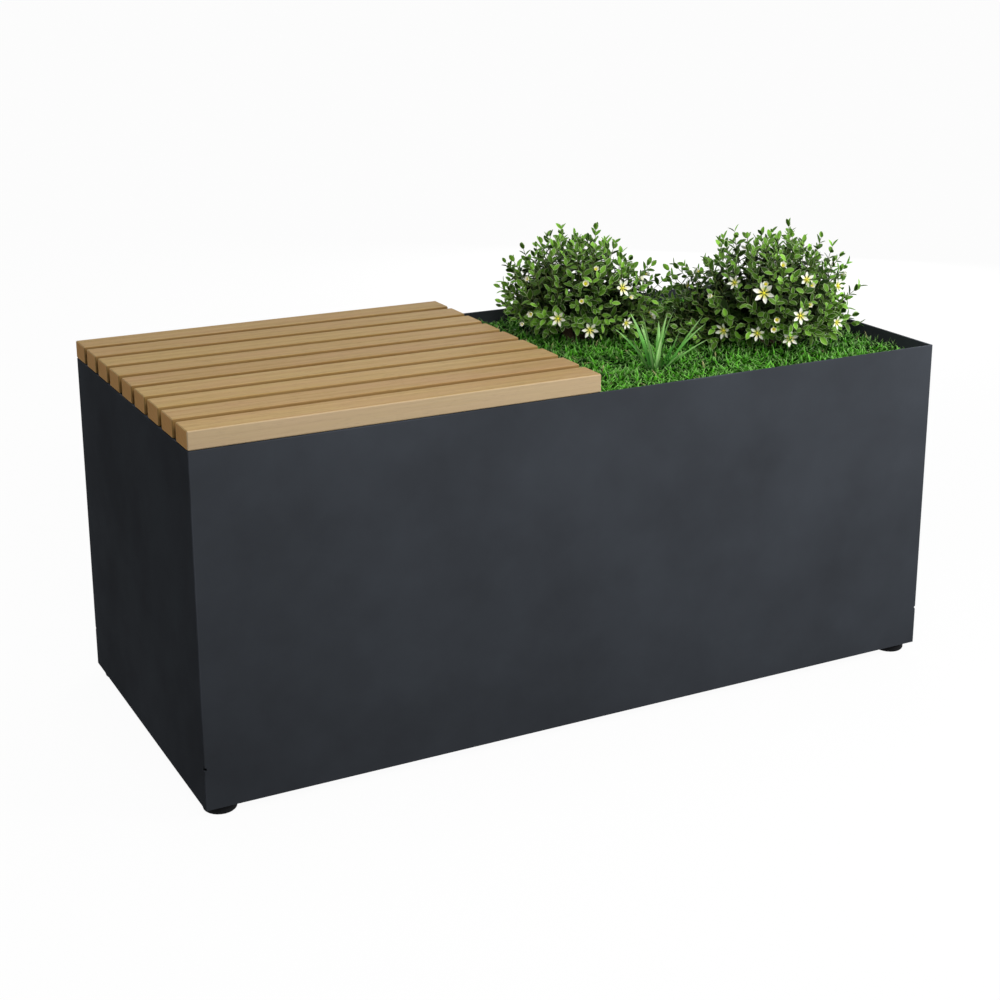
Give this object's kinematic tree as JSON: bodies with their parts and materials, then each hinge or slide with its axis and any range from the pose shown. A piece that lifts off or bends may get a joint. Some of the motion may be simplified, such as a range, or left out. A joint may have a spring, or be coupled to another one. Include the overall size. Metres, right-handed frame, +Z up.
{
  "type": "bench with planter",
  "caption": "Black sheet steel box bench: a lift-off slatted teak seat over one half, a planted trough in the other, on levelling feet.",
  "frame": {"origin": "on the floor under the middle of the box", "axes": "+X along the bench towards the planted end, -Y towards the front, +Z up"},
  "size_m": [1, 0.45, 0.5736],
  "materials": {
    "black_steel": "matte",
    "zinc": "satin",
    "foot_rubber": "matte",
    "teak": "matte",
    "soil": "matte",
    "clay_granules": "matte",
    "fleece": "matte",
    "turf": "matte",
    "foliage": "satin",
    "bark": "matte"
  },
  "bodies": {
    "box": {"front_wall": "black_steel", "rear_wall": "black_steel", "left_wall": "black_steel", "right_wall": "black_steel", "floor_plate": "black_steel", "partition_wall": "black_steel", "front_ledge": "black_steel", "rear_ledge": "black_steel", "gusset_front_left": "black_steel", "gusset_front_right": "black_steel", "gusset_rear_left": "black_steel", "gusset_rear_right": "black_steel", "weld_nut_front_left": "zinc", "weld_nut_front_right": "zinc", "weld_nut_rear_left": "zinc", "weld_nut_rear_right": "zinc", "drainage_layer": "clay_granules", "filter_fleece": "fleece", "soil": "soil", "turf_mat": "turf", "shrub_left_branches": "bark", "shrub_left_crown": "foliage", "shrub_right_branches": "bark", "shrub_right_crown": "foliage", "grass_tuft": "turf"},
    "seat": {"slat_1": "teak", "slat_2": "teak", "slat_3": "teak", "slat_4": "teak", "slat_5": "teak", "slat_6": "teak", "slat_7": "teak", "slat_8": "teak", "slat_9": "teak", "left_batten": "teak", "middle_batten": "teak", "right_batten": "teak"},
    "foot_front_left": {"foot_pad_front_left": "foot_rubber", "foot_stud_front_left": "zinc"},
    "foot_front_right": {"foot_pad_front_right": "foot_rubber", "foot_stud_front_right": "zinc"},
    "foot_rear_left": {"foot_pad_rear_left": "foot_rubber", "foot_stud_rear_left": "zinc"},
    "foot_rear_right": {"foot_pad_rear_right": "foot_rubber", "foot_stud_rear_right": "zinc"}
  },
  "joints": [
    {"name": "seat_lift", "type": "slide", "parent": "box", "child": "seat", "axis": [0, 0, 1], "range_m": [0, 0.15]},
    {"name": "front_left_screw", "type": "slide", "parent": "box", "child": "foot_front_left", "axis": [0, 0, -1], "range_m": [0, 0.015]},
    {"name": "front_right_screw", "type": "slide", "parent": "box", "child": "foot_front_right", "axis": [0, 0, -1], "range_m": [0, 0.015]},
    {"name": "rear_left_screw", "type": "slide", "parent": "box", "child": "foot_rear_left", "axis": [0, 0, -1], "range_m": [0, 0.015]},
    {"name": "rear_right_screw", "type": "slide", "parent": "box", "child": "foot_rear_right", "axis": [0, 0, -1], "range_m": [0, 0.015]}
  ]
}
